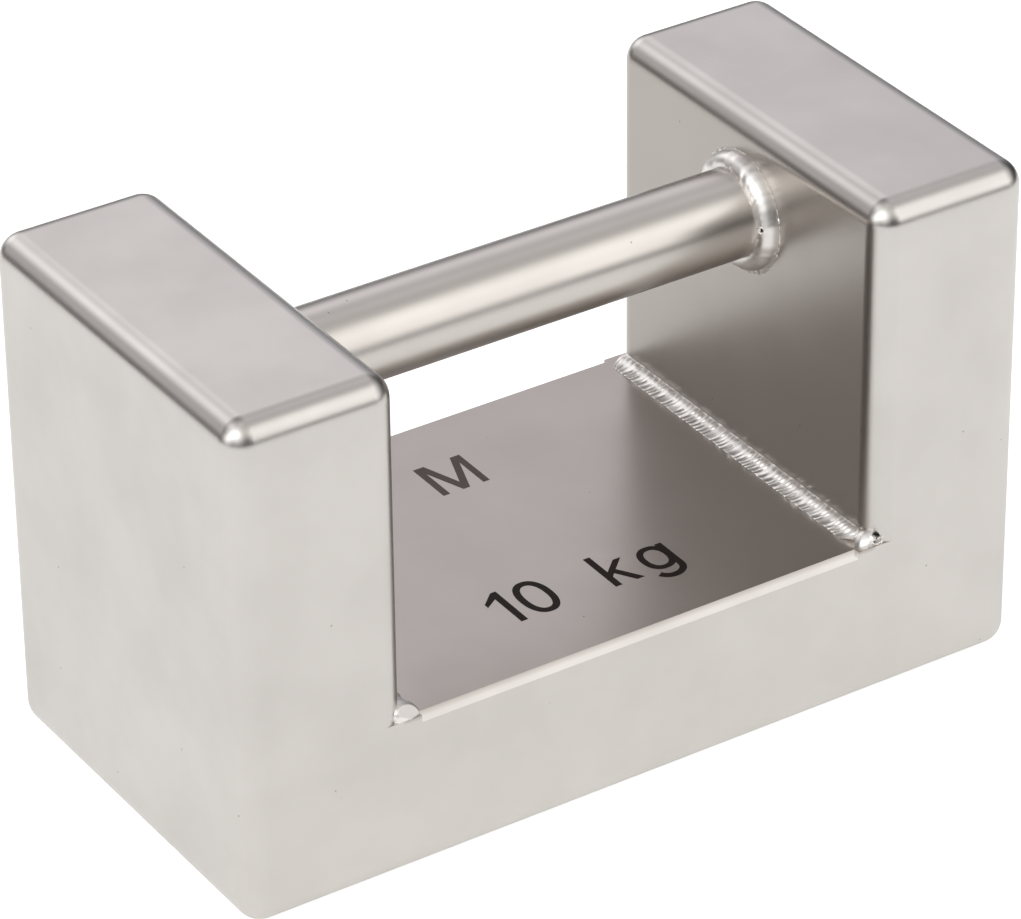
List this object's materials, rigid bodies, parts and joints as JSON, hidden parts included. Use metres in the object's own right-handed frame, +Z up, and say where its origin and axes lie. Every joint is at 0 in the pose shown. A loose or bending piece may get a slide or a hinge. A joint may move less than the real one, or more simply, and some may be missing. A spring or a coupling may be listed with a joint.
{
  "type": "rectangular calibration weight",
  "caption": "Welded stainless steel bar weight: rounded uprights on a base block with a round handle between them, whose sealed bore holds the adjusting shot.",
  "frame": {"origin": "centre of the underside, on the surface the weight stands on", "axes": "+X along the handle, towards the upright that holds the plug and seal; +Y to the rear; +Z up"},
  "size_m": [0.19, 0.095, 0.1173],
  "materials": {
    "block_steel": "fine bead-blasted satin",
    "handle_steel": "fine bead-blasted satin",
    "weld_metal": "bright as-welded bead, ground flush on the outer seams",
    "shot_steel": "plain small shot",
    "plug_steel": "turned",
    "seal_metal": "soft, pressed in"
  },
  "bodies": {
    "root": {"base_block": "block_steel", "left_upright": "block_steel", "right_upright": "block_steel", "handle_tube": "handle_steel", "adjusting_shot": "shot_steel", "adjusting_plug": "plug_steel", "plug_seal": "seal_metal", "left_seam_weld": "block_steel", "right_seam_weld": "block_steel", "left_corner_weld": "weld_metal", "right_corner_weld": "weld_metal", "left_handle_weld": "weld_metal", "right_handle_weld": "weld_metal"}
  },
  "joints": []
}
